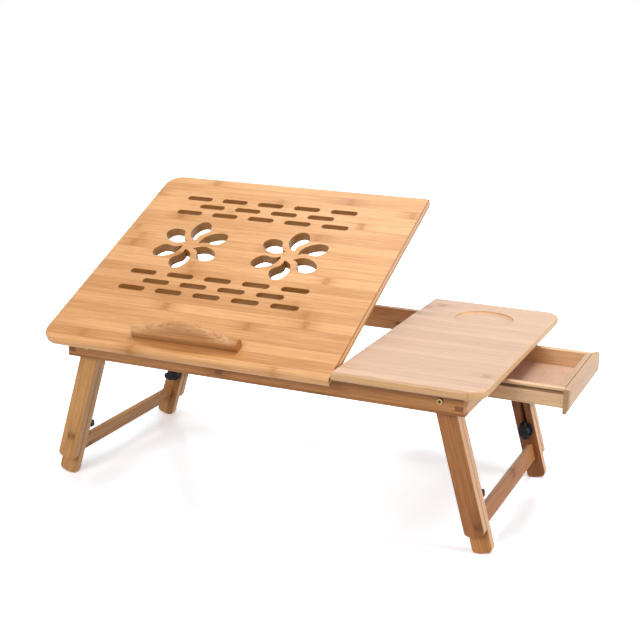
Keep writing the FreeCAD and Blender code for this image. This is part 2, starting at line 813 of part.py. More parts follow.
def make_pivot_nuts():
    end = upper_leg_front + leg_thickness - nut_play
    nuts = []
    for place in pivot_places():
        middle = place + vec(0, end - nut_height, 0)
        nut = hexagon_nut(middle, vec(0, 1, 0), nut_radius, nut_height)
        nuts.append(nut.cut(rod(bolt_radius, middle - vec(0, 1, 0), middle + vec(0, nut_height + 1, 0))))
    return group(nuts + [mirror_front_to_back(nut) for nut in nuts])


# --- drawer, drawn as far open as it stands at rest ---

drawer_right = drawer_face - drawer_front_thickness
drawer_left = drawer_right - drawer_length
drawer_near = middle_y - drawer_width / 2
drawer_far = middle_y + drawer_width / 2
floor_under = drawer_bottom + floor_lift


def drawer_floor_blank():
    rebate = drawer_floor_rebate
    return block(drawer_left + drawer_cross_wall - rebate, drawer_right - drawer_cross_wall + rebate,
                 drawer_near + drawer_wall - rebate, drawer_far - drawer_wall + rebate,
                 floor_under, floor_under + drawer_floor_thickness)


def floor_rebate():
    floor = drawer_floor_blank().BoundBox
    return block(floor.XMin, floor.XMax, floor.YMin, floor.YMax, drawer_bottom - 1, floor.ZMax)


def make_drawer_side():
    """Near side of the drawer box, grooved outside for the runner's tongue."""
    side = block(drawer_left, drawer_right, drawer_near, drawer_near + drawer_wall, drawer_bottom, drawer_top)
    side = soften(side, drawer_edge_round,
                  lambda e: runs_along(vec(1, 0, 0), 1)(e) and in_plane_z(drawer_top)(e))
    high = drawer_top - groove_drop
    groove = block(drawer_left - 1, drawer_right + 1, drawer_near - 1, drawer_near + groove_depth,
                   high - groove_height, high)
    return cut_all(side, [groove, floor_rebate()])


def make_drawer_cross(start):
    """A cross wall of the drawer box between its two sides."""
    wall = block(start, start + drawer_cross_wall, drawer_near + drawer_wall, drawer_far - drawer_wall,
                 drawer_bottom, drawer_top)
    wall = soften(wall, drawer_seam_round,
                  lambda e: runs_along(vec(0, 1, 0), 1)(e) and in_plane_z(drawer_top)(e))
    return wall.cut(floor_rebate())


def drawer_screw_heads():
    x = drawer_right - drawer_cross_wall
    reach = drawer_width / 2 - 3 * drawer_wall
    z = (drawer_bottom + drawer_top) / 2 + drawer_floor_rebate / 2
    return [vec(x, middle_y + share * reach, z) for share in (-1, 0, 1)]


drawer_screw_length = drawer_cross_wall + drawer_front_thickness * last_bite_share


def make_drawer_box_front():
    wall = make_drawer_cross(drawer_right - drawer_cross_wall)
    return cut_all(wall, screw_holes(drawer_screw_heads(), vec(1, 0, 0), drawer_screw_length))


def make_drawer_front():
    """The drawer's face: eased at the top and both ends, and bevelled to a thin lower edge."""
    near, far = middle_y - drawer_front_width / 2, middle_y + drawer_front_width / 2
    low = drawer_top - drawer_front_height
    profile = [vec(drawer_right, near, low), vec(drawer_right, near, drawer_top),
               vec(drawer_face, near, drawer_top), vec(drawer_face, near, low + drawer_front_bevel_height),
               vec(drawer_face - drawer_front_bevel_depth, near, low), vec(drawer_right, near, low)]
    front = Part.Face(Part.makePolygon(profile)).extrude(vec(0, far - near, 0))
    front = soften(front, drawer_front_round,
                   lambda e: all(abs(v.X - drawer_face) < 1e-6 for v in e.Vertexes))
    front = soften(front, drawer_seam_round, lambda e: runs_along(vec(0, 1, 0), drawer_width)(e)
                   and abs(e.Vertexes[0].X - drawer_right) < 1e-6 and in_plane_z(drawer_top)(e))
    return cut_all(front, screw_holes(drawer_screw_heads(), vec(1, 0, 0), drawer_screw_length))


# --- everything ---

def screws(heads, way, length):
    return [driven_screw(head, way, length) for head in heads]


def frame_pieces():
    upwards, inwards = vec(0, 0, 1), vec(0, 1, 0)
    front_rail, runner = make_front_rail(), make_drawer_runner()
    runner_screws = screws(runner_screw_heads(), upwards, runner_screw_length)
    batten_screws = screws(batten_screw_heads(), upwards, batten_screw_length)
    panel = make_fixed_panel()
    near_holes = screw_holes(runner_screw_heads(), upwards, runner_screw_length)
    holes = near_holes + [mirror_front_to_back(hole) for hole in near_holes]
    holes += screw_holes(batten_screw_heads(), upwards, batten_screw_length)
    return {
        "front_rail": cut_all(front_rail, hinge_screw_holes()),
        "rear_rail": mirror_front_to_back(front_rail),
        "left_end_rail": make_end_rail(frame_left, frame_left + end_rail_thickness),
        "right_end_rail": make_right_end_rail(),
        "centre_rail": make_centre_rail(),
        "fixed_panel": cut_all(panel, holes),
        "cross_batten": make_cross_batten(),
        "drawer_runner_front": runner,
        "drawer_runner_rear": mirror_front_to_back(runner),
        "runner_screws": group(runner_screws + [mirror_front_to_back(screw) for screw in runner_screws]),
        "batten_screws": group(batten_screws),
        "hinge_rail_leaves": make_hinge_leaves(False),
        "hinge_pins": make_hinge_pins(),
        "hinge_rail_screws": group(screws(hinge_rail_screw_heads(), inwards, hinge_leaf + rail_screw_bite)),
        "pivot_bolts": make_pivot_bolts(),
        "pivot_nuts": make_pivot_nuts(),
    }


def tilt_pieces():
    """Everything that swings with the tilting panel, drawn flat and then raised."""
    upwards = vec(0, 0, 1)
    pieces = {
        "tilt_panel": make_tilt_panel(),
        "book_stop": make_book_stop(),
        "stop_screws": group(screws(stop_screw_heads(), upwards, stop_screw_length)),
        "hinge_panel_leaves": make_hinge_leaves(True),
        "hinge_panel_screws": group(screws(hinge_panel_screw_heads(), upwards, hinge_leaf + screw_bite)),
        "prop_lugs": make_prop_lugs(),
        "lug_screws": group(screws(lug_screw_heads(), upwards, lug_screw_length)),
        "prop_pins": make_prop_pins(),
    }
    for shape in pieces.values():
        shape.rotate(hinge_point, vec(1, 0, 0), tilt_rest)
    return pieces


def prop_pieces():
    """The prop is swung down on its pins by its share of the tilt and then raised with the panel."""
    pieces = {
        "prop_arm_left": make_prop_arm(-1),
        "prop_arm_right": make_prop_arm(1),
        "prop_foot_rod": make_prop_foot_rod(),
    }
    for shape in pieces.values():
        shape.rotate(vec(0, prop_pivot_y, prop_pivot_z), vec(1, 0, 0), -prop_per_tilt * tilt_rest)
        shape.rotate(hinge_point, vec(1, 0, 0), tilt_rest)
    return pieces


def drawer_pieces():
    side = make_drawer_side()
    return {
        "drawer_front": make_drawer_front(),
        "drawer_box_front": make_drawer_box_front(),
        "drawer_side_front": side,
        "drawer_side_rear": mirror_front_to_back(side),
        "drawer_back": make_drawer_cross(drawer_left),
        "drawer_floor": drawer_floor_blank(),
        "drawer_front_screws": group(screws(drawer_screw_heads(), vec(1, 0, 0), drawer_screw_length)),
    }


def leg_pieces():
    pieces = {}
    for side, name, turns in ((-1, "left", knob_turns[:2]), (1, "right", knob_turns[2:])):
        upper = place_leg(make_upper_leg(), side)
        lower = trim_foot(place_leg(make_lower_leg(), side))
        stud = place_leg(make_knob_stud(), side)
        pieces["upper_leg_" + name + "_front"] = upper
        pieces["upper_leg_" + name + "_rear"] = mirror_front_to_back(upper)
        pieces["knob_studs_" + name] = group([stud, mirror_front_to_back(stud)])
        pieces["lower_leg_" + name + "_front"] = lower
        pieces["lower_leg_" + name + "_rear"] = mirror_front_to_back(lower)
        pieces["stretcher_" + name] = place_leg(make_stretcher(), side)
        pieces["wing_knob_" + name + "_front"] = place_leg(make_wing_knob(turns[0]), side)
        rear_knob = place_leg(make_wing_knob(turns[1]), side)
        pieces["wing_knob_" + name + "_rear"] = mirror_front_to_back(rear_knob)
    return pieces


def build():
    os.makedirs("parts", exist_ok=True)
    for pieces in (frame_pieces(), tilt_pieces(), prop_pieces(), drawer_pieces(), leg_pieces()):
        for name, shape in pieces.items():
            shape.translate(vec(-origin_x, -origin_y, 0))
            shape.exportStep("parts/" + name + ".step")
            print(name, len(shape.Solids), "solids", round(shape.Volume), "mm3", shape.isValid())


build()
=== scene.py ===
import bpy
import json
import math
from mathutils import Matrix, Vector


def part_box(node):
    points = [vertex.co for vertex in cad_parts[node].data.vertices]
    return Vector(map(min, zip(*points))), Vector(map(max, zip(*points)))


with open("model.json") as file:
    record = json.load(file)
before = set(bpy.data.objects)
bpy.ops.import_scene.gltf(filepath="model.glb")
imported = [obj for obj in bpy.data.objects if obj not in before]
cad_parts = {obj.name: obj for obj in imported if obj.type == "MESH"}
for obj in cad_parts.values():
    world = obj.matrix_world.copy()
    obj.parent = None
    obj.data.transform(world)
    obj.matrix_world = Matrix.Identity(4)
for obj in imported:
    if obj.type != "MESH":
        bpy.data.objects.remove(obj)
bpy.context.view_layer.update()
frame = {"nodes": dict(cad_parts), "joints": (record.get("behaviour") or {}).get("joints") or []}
nodes = frame["nodes"]
print("frame loaded:", len(nodes), "nodes")

white = (1, 1, 1, 1)


class Sock:
    # an output socket that can be used in plain arithmetic
    def __init__(self, graph, socket):
        self.graph = graph
        self.socket = socket

    def __add__(self, other):
        return self.graph.math("ADD", self, other)

    def __radd__(self, other):
        return self.graph.math("ADD", other, self)

    def __sub__(self, other):
        return self.graph.math("SUBTRACT", self, other)

    def __rsub__(self, other):
        return self.graph.math("SUBTRACT", other, self)

    def __mul__(self, other):
        return self.graph.math("MULTIPLY", self, other)

    def __rmul__(self, other):
        return self.graph.math("MULTIPLY", other, self)

    def __truediv__(self, other):
        return self.graph.math("DIVIDE", self, other)

    def __rtruediv__(self, other):
        return self.graph.math("DIVIDE", other, self)

    def __abs__(self):
        return self.graph.math("ABSOLUTE", self)


class Graph:
    # the node tree of one material, or of the world
    def __init__(self, owner):
        owner.use_nodes = True
        self.owner = owner
        self.tree = owner.node_tree
        self.tree.nodes.clear()

    def add(self, kind, settings=None, inputs=None, out=0):
        node = self.tree.nodes.new(kind)
        for key, value in (settings or {}).items():
            setattr(node, key, value)
        for key, value in (inputs or {}).items():
            if isinstance(value, Sock):
                self.tree.links.new(value.socket, node.inputs[key])
            else:
                node.inputs[key].default_value = value
        return Sock(self, node.outputs[out]) if len(node.outputs) else None

    def math(self, operation, *values):
        return self.add("ShaderNodeMath", {"operation": operation}, dict(enumerate(values)))

    def least(self, first, second):
        return self.math("MINIMUM", first, second)

    def most(self, first, second):
        return self.math("MAXIMUM", first, second)

    def mix(self, factor, first, second):
        settings = {"data_type": "RGBA", "blend_type": "MIX"}
        return self.add("ShaderNodeMix", settings, {0: factor, 6: first, 7: second}, 2)

    def blend(self, factor, first, second):
        # two shaders
        return self.add("ShaderNodeMixShader", None, {0: factor, 1: first, 2: second})

    def ease(self, value, low, high):
        # 0 at low, 1 at high, smooth between; low may be the larger one
        settings = {"interpolation_type": "SMOOTHSTEP"}
        return self.add("ShaderNodeMapRange", settings, {0: value, 1: low, 2: high})

    def join(self, x, y, z):
        return self.add("ShaderNodeCombineXYZ", None, {0: x, 1: y, 2: z})

    def split(self, vector):
        first = self.add("ShaderNodeSeparateXYZ", None, {0: vector})
        return [Sock(self, output) for output in first.socket.node.outputs]

    def surface(self, kind):
        # a place or a direction on the surface: "Object" or "Normal"
        return self.add("ShaderNodeTexCoord", None, None, kind)

    def turnBack(self, vector, turn, pivot=(0.0, 0.0, 0.0)):
        inputs = {"Vector": vector, "Location": pivot, "Rotation": turn}
        return self.add("ShaderNodeMapping", {"vector_type": "TEXTURE"}, inputs)

    def noise(self, x, y, z, detail=2.0, roughness=0.5):
        inputs = {"Vector": self.join(x, y, z), "Scale": 1.0}
        inputs.update({"Detail": detail, "Roughness": roughness})
        return self.add("ShaderNodeTexNoise", None, inputs)

    def evenNoise(self, scale, detail):
        x, y, z = self.split(self.surface("Object"))
        return self.noise(x * scale, y * scale, z * scale, detail)

    def random(self, x, y=0.0, z=0.0):
        inputs = {"Vector": self.join(x, y, z)}
        return self.add("ShaderNodeTexWhiteNoise", {"noise_dimensions": "3D"}, inputs)

    def path(self, ray):
        return self.add("ShaderNodeLightPath", None, None, ray)

    def paint(self, inputs):
        shader = self.add("ShaderNodeBsdfPrincipled", None, inputs)
        self.add("ShaderNodeOutputMaterial", None, {"Surface": shader})
        return self.owner


# what all the bamboo has in common; lengths are in metres, noise scales are per metre
grain = {
    # scale along and across the grain, shift from strip to strip, detail, roughness
    "mottle": (300.0, 420.0, 0.0, 3.0, 0.65),
    "streak": (8.0, 300.0, 40.0, 3.0, 0.65),
    "fibre": (20.0, 900.0, 70.0, 2.0, 0.6),
    "bundle": (45.0, 1400.0, 0.0, 1.0, 0.5),
    "dots": (100.0, 1300.0, 0.0, 1.0, 0.5),
    "cloudAlong": 6.0, "cloudThrough": 20.0,
    "caneApart": 0.2,               # boards this far apart are cut from other canes
    "seedStep": 3.7,
    "knotDraw": 5.0, "knotSpread": 9.0, "luckTop": 1.05,
    "knotReach": (0.0085, 0.0010),  # a growth ring fades in between these distances
    "knotMottle": (0.46, 0.56), "knotRim": (0.50, 0.36), "knotSoft": 0.50,
    "glowReach": (0.030, 0.004), "glow": 0.50,
    "baseDepth": 0.45, "cloudShare": 0.7, "fibreShare": 1.2,
    "bundleEdge": (0.58, 0.72), "bundleShare": 0.40,
    "seamEdge": (0.470, 0.5), "seamShare": 0.45,
    "sideEdge": (0.85, 0.40), "endEdge": (0.92, 0.98), "endShare": 0.85, "dotEdge": (0.42, 0.62),
    "plyEdge": (0.22, 0.16),        # of the board's thickness
    "footWave": 0.002,
    "scorchInset": (0.010, 0.012), "scorchEdge": (0.70, 0.40), "scorchShare": 0.75,
    # colour and soft edge of the painted shade in gaps, grooves and under the panels
    "paintedShade": (0.100, 0.040, 0.012, 1), "paintedShadeSoft": 0.6,
    "rough": 0.26, "fibreRough": 0.14, "bump": 0.25, "bumpHeight": 0.0002,
}

# what differs from board to board
bambooLooks = {
    "tiltPanel": {
        "pale": (0.795, 0.420, 0.172, 1), "deep": (0.555, 0.243, 0.072, 1),
        "knot": (0.430, 0.165, 0.024, 1), "scorch": (0.300, 0.128, 0.018, 1),
        "core": (0.700, 0.450, 0.250, 1),
        "strip": 0.0165, "stripTone": 0.8, "streak": 1.8, "knotGap": 0.185, "knotShare": 0.7,
        "seed": 3.0,
    },
    "sidePanel": {
        "pale": (0.745, 0.495, 0.335, 1), "deep": (0.600, 0.370, 0.230, 1),
        "knot": (0.420, 0.220, 0.110, 1), "side": (0.720, 0.410, 0.170, 1), "sideShare": 0.8,
        "core": (0.700, 0.450, 0.250, 1),
        "strip": 0.0165, "stripTone": 0.6, "streak": 1.1, "knotGap": 0.200, "knotShare": 0.35,
        "seed": 11.0,
    },
    "bookStop": {
        "pale": (0.740, 0.405, 0.190, 1), "deep": (0.470, 0.200, 0.062, 1),
        "knot": (0.240, 0.080, 0.016, 1),
        "strip": 0.0300, "stripTone": 0.3, "streak": 2.2, "knotGap": 0.160, "knotShare": 0.9,
        "seed": 29.0, "rough": 0.08, "ior": 1.35,
    },
    "rail": {
        "pale": (0.560, 0.255, 0.088, 1), "deep": (0.340, 0.130, 0.036, 1),
        "knot": (0.140, 0.045, 0.010, 1),
        "strip": 0.0144, "stripTone": 0.8, "streak": 1.8, "knotGap": 0.170, "knotShare": 0.6,
        "seed": 41.0, "ior": 1.4,
    },
    "endRail": {
        "pale": (0.760, 0.400, 0.180, 1), "deep": (0.300, 0.105, 0.032, 1),
        "knot": (0.130, 0.045, 0.012, 1),
        "strip": 0.0144, "stripTone": 0.2, "streak": 0.8, "knotGap": 0.170, "knotShare": 0.6,
        "seed": 43.0, "ior": 1.36,
    },
    "rearRail": {
        "pale": (0.800, 0.390, 0.155, 1), "deep": (0.560, 0.240, 0.080, 1),
        "knot": (0.180, 0.060, 0.015, 1),
        "strip": 0.0144, "stripTone": 0.6, "streak": 1.8, "knotGap": 0.170, "knotShare": 0.6,
        "seed": 47.0, "ior": 1.4,
    },
    "leftLeg": {
        "pale": (0.640, 0.330, 0.120, 1), "deep": (0.450, 0.205, 0.062, 1),
        "knot": (0.200, 0.070, 0.018, 1), "side": (0.660, 0.345, 0.130, 1), "sideShare": 0.8,
        "strip": 0.0119, "stripTone": 0.6, "streak": 1.8, "knotGap": 0.150, "knotShare": 0.5,
        "seed": 57.0, "ior": 1.36,
    },
    # the right legs' narrow faces are much lighter than their fronts: partly painted light, where
    # the light from the right falls
    "rightLeg": {
        "pale": (0.460, 0.190, 0.065, 1), "deep": (0.310, 0.112, 0.032, 1),
        "knot": (0.150, 0.050, 0.012, 1), "side": (0.760, 0.450, 0.255, 1), "sideShare": 0.85,
        "strip": 0.0119, "stripTone": 0.7, "streak": 1.8, "knotGap": 0.140, "knotShare": 0.6,
        "seed": 61.0, "ior": 1.36,
    },
    "drawer": {
        "pale": (0.660, 0.405, 0.235, 1), "deep": (0.500, 0.290, 0.150, 1),
        "knot": (0.340, 0.170, 0.070, 1),
        "strip": 0.0240, "stripTone": 0.3, "streak": 1.4, "knotGap": 0.210, "knotShare": 0.3,
        "seed": 73.0,
    },
    "drawerSide": {
        "pale": (0.830, 0.545, 0.315, 1), "deep": (0.680, 0.420, 0.220, 1),
        "knot": (0.400, 0.190, 0.080, 1),
        "strip": 0.0240, "stripTone": 0.3, "streak": 1.4, "knotGap": 0.210, "knotShare": 0.3,
        "seed": 79.0,
    },
}
# the right front slotted bar is of a paler cane, and the stretchers are duller than the bars
rightFoot = {"pale": (0.620, 0.280, 0.088, 1), "deep": (0.420, 0.165, 0.044, 1)}
stretcherIor = 1.2


def bamboo(name, look, order, turn=(0.0, 0.0, 0.0), pivot=(0.0, 0.0, 0.0), paintedShade=()):
    # order gives the axes along the grain, across the strips and through the board, after the turn;
    # the last argument lists painted shade: a share and, by axis, the middle and half width of a
    # place painted dark where shade falls
    graph = Graph(bpy.data.materials.new(name))
    place = graph.surface("Object")
    axes = graph.split(graph.turnBack(place, turn, pivot))
    along, across, through = [axes["xyz".index(axis)] for axis in order]
    cane = graph.math("FLOOR", through / grain["caneApart"] + 0.5)
    seed = cane * grain["seedStep"] + look["seed"]
    stripPlace = across / look["strip"] + seed
    strip = graph.math("FLOOR", stripPlace)
    fromMiddle = abs(graph.math("FRACT", stripPlace) - 0.5)
    tone = graph.random(strip, seed)

    def grainNoise(kind):
        alongScale, acrossScale, shift, detail, roughness = grain[kind]
        start = along * alongScale + tone * shift
        return graph.noise(start, across * acrossScale, through * acrossScale, detail, roughness)

    # growth rings of each strip start at their own place
    ringStart = graph.random(strip, seed, grain["knotDraw"]) * grain["knotSpread"]
    knotPlace = along / look["knotGap"] + ringStart
    offKnot = abs(graph.math("FRACT", knotPlace) - 0.5) * look["knotGap"]
    luck = graph.random(strip, graph.math("FLOOR", knotPlace), seed)
    shown = graph.ease(luck, 1.0 - look["knotShare"], grain["luckTop"] - look["knotShare"] * 0.5)
    knotZone = graph.ease(offKnot, *grain["knotReach"]) * shown
    knotZone = knotZone * graph.ease(fromMiddle, *grain["knotRim"])
    knot = knotZone * graph.ease(grainNoise("mottle"), *grain["knotMottle"])
    knotGlow = graph.ease(offKnot, *grain["glowReach"]) * shown * grain["glow"]

    # fibres: long soft streaks, fine streaks and short dark bundles
    cloud = graph.noise(along * grain["cloudAlong"], strip * grain["seedStep"],
                        through * grain["cloudThrough"], 1.0)
    streak = grainNoise("streak")
    fibre = grainNoise("fibre")
    depth = (tone - 0.5) * look["stripTone"] + grain["baseDepth"]
    depth = depth + (cloud - 0.5) * look["streak"] * grain["cloudShare"]
    depth = depth + (streak - 0.5) * look["streak"]
    depth = depth + (fibre - 0.5) * grain["fibreShare"] + knotGlow
    depth = graph.least(graph.most(depth, 0.0), 1.0)
    colour = graph.mix(depth, look["pale"], look["deep"])

    facing = graph.split(graph.turnBack(graph.surface("Normal"), turn))
    flat = abs(facing["xyz".index(order[2])])
    if "side" in look:
        # the narrow faces are cut through other layers; where they are much lighter than the broad
        # faces, as on the right legs, that is partly painted light
        side = graph.ease(flat, *grain["sideEdge"]) * look["sideShare"]
        colour = graph.mix(side, colour, look["side"])
    if "low" in look:
        # painted shade: the board is painted darker towards its foot, where it meets the surface
        # below
        dark, bright, share = look["low"]
        foot = graph.ease(axes[2] + streak * grain["footWave"], bright, dark)
        colour = graph.mix(foot * share, colour, look["knot"])
    bundle = graph.ease(grainNoise("bundle"), *grain["bundleEdge"]) * grain["bundleShare"]
    seam = graph.ease(fromMiddle, *grain["seamEdge"]) * grain["seamShare"]
    dark = graph.most(bundle, seam)
    dark = graph.most(dark, graph.most(knot, knotZone * grain["knotSoft"]))
    colour = graph.mix(dark, colour, look["knot"])

    # cut ends show the bundles as dots and soak up more lacquer
    cutEnd = graph.ease(abs(facing["xyz".index(order[0])]), *grain["endEdge"])
    dots = graph.ease(grainNoise("dots"), *grain["dotEdge"])
    endColour = graph.mix(dots, look["deep"], look["knot"])
    endShare = cutEnd * grain["endShare"]
    if "core" in look:
        # the middle ply runs across, so its end shows long grain; the top ply soaks up most
        outer, inner = [panelThick * share for share in grain["plyEdge"]]
        core = graph.ease(abs(through - look["middle"]), outer, inner)
        colour = graph.mix(core * cutEnd, colour, look["core"])
        endColour = graph.mix(0.5, endColour, look["knot"])
        endShare = cutEnd * (grain["endShare"] - core * grain["endShare"])
    colour = graph.mix(endShare, colour, endColour)
    if "scorch" in look:
        # the cut-outs' walls are scorched by the cutter, unlike the sanded edges round the board
        low, high = look["board"]
        inset = graph.least(along - low[0], high[0] - along)
        inset = graph.least(inset, graph.least(across - low[1], high[1] - across))
        wall = graph.ease(inset, *grain["scorchInset"]) * graph.ease(flat, *grain["scorchEdge"])
        colour = graph.mix(wall * grain["scorchShare"], colour, look["scorch"])

    # painted shade: each listed place is painted dark where shade falls
    places = graph.split(place)
    for share, spans in paintedShade:
        for axis, (middle, half) in spans.items():
            away = abs(places["xyz".index(axis)] - middle)
            share = graph.ease(away, half, half * grain["paintedShadeSoft"]) * share
        colour = graph.mix(share, colour, grain["paintedShade"])
    inputs = {"Strength": grain["bump"], "Distance": grain["bumpHeight"], "Height": fibre + streak}
    rough = fibre * grain["fibreRough"] + (grain["rough"] + look.get("rough", 0.0))
    return graph.paint({
        "Base Color": colour, "Roughness": rough,
        "Normal": graph.add("ShaderNodeBump", None, inputs), "IOR": look.get("ior", 1.5),
    })


# the drawer's bottom: a thin rotary-cut sheet, paler and pinker than the bamboo
plyLook = {
    "pale": (0.72, 0.47, 0.33, 1), "deep": (0.62, 0.37, 0.24, 1),
    "cloud": (14.0, 22.0), "fibre": (260.0, 30.0), "fibreShare": 0.4, "edge": (0.35, 0.65),
    "rough": 0.55, "fibreRough": 0.1,
}


def plywood(name, look):
    graph = Graph(bpy.data.materials.new(name))
    along, across, through = graph.split(graph.surface("Object"))
    cloud = graph.noise(along * look["cloud"][0], across * look["cloud"][1], through, 3.0)
    fibre = graph.noise(along * look["fibre"][0], across * look["fibre"][1], through, 3.0, 0.6)
    depth = cloud * (1.0 - look["fibreShare"]) + fibre * look["fibreShare"]
    colour = graph.mix(graph.ease(depth, *look["edge"]), look["pale"], look["deep"])
    rough = fibre * look["fibreRough"] + look["rough"]
    return graph.paint({"Base Color": colour, "Roughness": rough})


steelLook = {
    "bright": (0.62, 0.62, 0.60, 1), "dull": (0.434, 0.434, 0.42, 1),
    "grime": 900.0, "grimeEdge": (0.45, 0.75), "rough": 0.30, "grimeRough": 0.15,
}


def steel(name, look):
    graph = Graph(bpy.data.materials.new(name))
    grime = graph.evenNoise(look["grime"], 3.0)
    colour = graph.mix(graph.ease(grime, *look["grimeEdge"]), look["bright"], look["dull"])
    rough = grime * look["grimeRough"] + look["rough"]
    return graph.paint({"Base Color": colour, "Metallic": 1.0, "Roughness": rough})


boltLook = {
    "bright": (0.62, 0.42, 0.16, 1), "dark": (0.05, 0.03, 0.015, 1),
    "rim": (0.0005, 0.0008),        # painted shade: the rim of each head lies this deep and is painted dark, as in the shade round the head
    "cross": (0.0024, 0.0012), "crossShare": 0.8,   # painted shade: a dark patch over the driver's cross at the middle of each head, as in the shade of its recess
    "grime": 900.0, "rimShadeWobble": 0.0006, "crossShadeWobble": 0.001, "rough": 0.30, "grimeRough": 0.15,
}


def boltMetal(name, look, ends, axis):
    graph = Graph(bpy.data.materials.new(name))
    x, y, z = graph.split(graph.surface("Object"))
    deep = graph.least(y - ends[0][1], ends[1][1] - y)
    grime = graph.evenNoise(look["grime"], 3.0)
    # painted shade: the rim and the middle of each head are painted dark, with a ragged edge
    rim = graph.ease(deep + grime * look["rimShadeWobble"], *look["rim"])
    fromAxis = graph.most(abs(abs(x) - axis[0]), abs(z - axis[2])) + grime * look["crossShadeWobble"]
    dark = graph.most(rim, graph.ease(fromAxis, *look["cross"]) * look["crossShare"])
    colour = graph.mix(dark, look["bright"], look["dark"])
    rough = grime * look["grimeRough"] + look["rough"]
    return graph.paint({"Base Color": colour, "Metallic": 1.0, "Roughness": rough})


knobLook = {
    "black": (0.006, 0.006, 0.009, 1), "grey": (0.014, 0.014, 0.018, 1),
    "grain": 2500.0, "haze": 120.0, "bump": 0.3, "bumpHeight": 0.0001,
    "rough": 0.45, "hazeRough": 0.2, "ior": 1.35,
}


def blackPlastic(name, look):
    graph = Graph(bpy.data.materials.new(name))
    haze = graph.evenNoise(look["haze"], 2.0)
    inputs = {
        "Strength": look["bump"], "Distance": look["bumpHeight"],
        "Height": graph.evenNoise(look["grain"], 2.0),
    }
    return graph.paint({
        "Base Color": graph.mix(haze, look["black"], look["grey"]),
        "Roughness": haze * look["hazeRough"] + look["rough"],
        "Normal": graph.add("ShaderNodeBump", None, inputs), "IOR": look["ior"],
    })


def wear(names, material):
    for name in names:
        slots = nodes[name].data.materials
        slots.clear()
        slots.append(material)


# the legs' splay and the panel's tilt are read from the joints, so that the grain follows the wood
joints = {joint["name"]: joint for joint in frame["joints"]}
tiltAngle = -math.radians(joints["panel_tilt"]["range_deg"][0])
panelTurn = (tiltAngle, 0.0, 0.0)
panelPivot = tuple(joints["panel_tilt"]["pos_m"])


def laidBox(name):
    # the box of a piece of the tilting panel, as if the panel lay flat with its hinge at the origin
    flatten = Matrix.Rotation(-tiltAngle, 3, "X")
    laid = [flatten @ (vertex.co - Vector(panelPivot)) for vertex in nodes[name].data.vertices]
    return [[pick(point[axis] for point in laid) for axis in range(3)] for pick in (min, max)]


panel = laidBox("tilt_panel")
stop = laidBox("book_stop")
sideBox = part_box("fixed_panel")
panelThick = sideBox[1][2] - sideBox[0][2]
bambooLooks["sidePanel"]["middle"] = (sideBox[0][2] + sideBox[1][2]) / 2
bambooLooks["tiltPanel"]["middle"] = (panel[0][2] + panel[1][2]) / 2
bambooLooks["tiltPanel"]["board"] = panel
stopFootShade = {"above": 0.0015, "heightShare": 0.45, "share": 0.75}    # painted shade on the stop's lower part
bambooLooks["bookStop"]["low"] = (
    panel[1][2] + stopFootShade["above"],
    panel[1][2] + (stop[1][2] - panel[1][2]) * stopFootShade["heightShare"],
    stopFootShade["share"],
)

wear(["tilt_panel"], bamboo("goldenBamboo", bambooLooks["tiltPanel"], "xyz", panelTurn, panelPivot))
wear(["book_stop"], bamboo("stopBamboo", bambooLooks["bookStop"], "xzy", panelTurn, panelPivot))
wear(["fixed_panel"], bamboo("paleBamboo", bambooLooks["sidePanel"], "xyz"))
wear(["prop_lugs"], bamboo("lugBamboo", bambooLooks["rail"], "yzx", panelTurn, panelPivot))
propPieces = ["prop_arm_left", "prop_arm_right", "prop_foot_rod"]
wear(propPieces, bamboo("propBamboo", bambooLooks["rail"], "yzx"))
print("panels done")

# painted shade: the rail's top in the shadow under the panels, the drawer's groove and the edge in
# the gap behind its front are painted dark
railShadowLook = {"share": 0.30, "below": 0.004, "half": 0.0125}
grooveShadeLook = {"share": 0.75, "inside": 0.0025, "below": 0.005, "half": 0.0024}
edgeShadeLook = {"share": 0.80, "half": 0.0008}
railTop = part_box("front_rail")[1][2]
# painted shadow of the overhanging panels on the rail's top
railPaintedShadow = [(railShadowLook["share"], {"z": (railTop - railShadowLook["below"], railShadowLook["half"])})]
wear(["front_rail"], bamboo("frontRailBamboo", bambooLooks["rail"], "xzy", paintedShade=railPaintedShadow))
wear(["rear_rail"], bamboo("rearRailBamboo", bambooLooks["rearRail"], "xzy"))
wear(["left_end_rail", "right_end_rail"], bamboo("endRailBamboo", bambooLooks["endRail"], "yzx"))
wear(["centre_rail", "cross_batten"], bamboo("crossRailBamboo", bambooLooks["rail"], "yzx"))
print("frame done")

plainSides = ["drawer_runner_front", "drawer_runner_rear", "drawer_side_rear"]
wear(plainSides, bamboo("drawerSideBamboo", bambooLooks["drawerSide"], "xzy"))
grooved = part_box("drawer_side_front")
# painted shade inside the drawer side's groove
groovePaintedShade = [(grooveShadeLook["share"], {
    "y": (grooved[0][1] + grooveShadeLook["inside"], grooveShadeLook["half"]),
    "z": (grooved[1][2] - grooveShadeLook["below"], grooveShadeLook["half"]),
})]
groovedWood = bamboo("groovedSideBamboo", bambooLooks["drawerSide"], "xzy", paintedShade=groovePaintedShade)
wear(["drawer_side_front"], groovedWood)
wear(["drawer_front", "drawer_back"], bamboo("drawerCrossBamboo", bambooLooks["drawer"], "yzx"))
# painted shadow in the thin gap between the box front and the drawer front
edgePaintedShade = [(edgeShadeLook["share"], {"x": (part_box("drawer_box_front")[1][0], edgeShadeLook["half"])})]
edgeWood = bamboo("boxFrontBamboo", bambooLooks["drawer"], "yzx", paintedShade=edgePaintedShade)
wear(["drawer_box_front"], edgeWood)
wear(["drawer_floor"], plywood("drawerPly", plyLook))
print("drawer done")

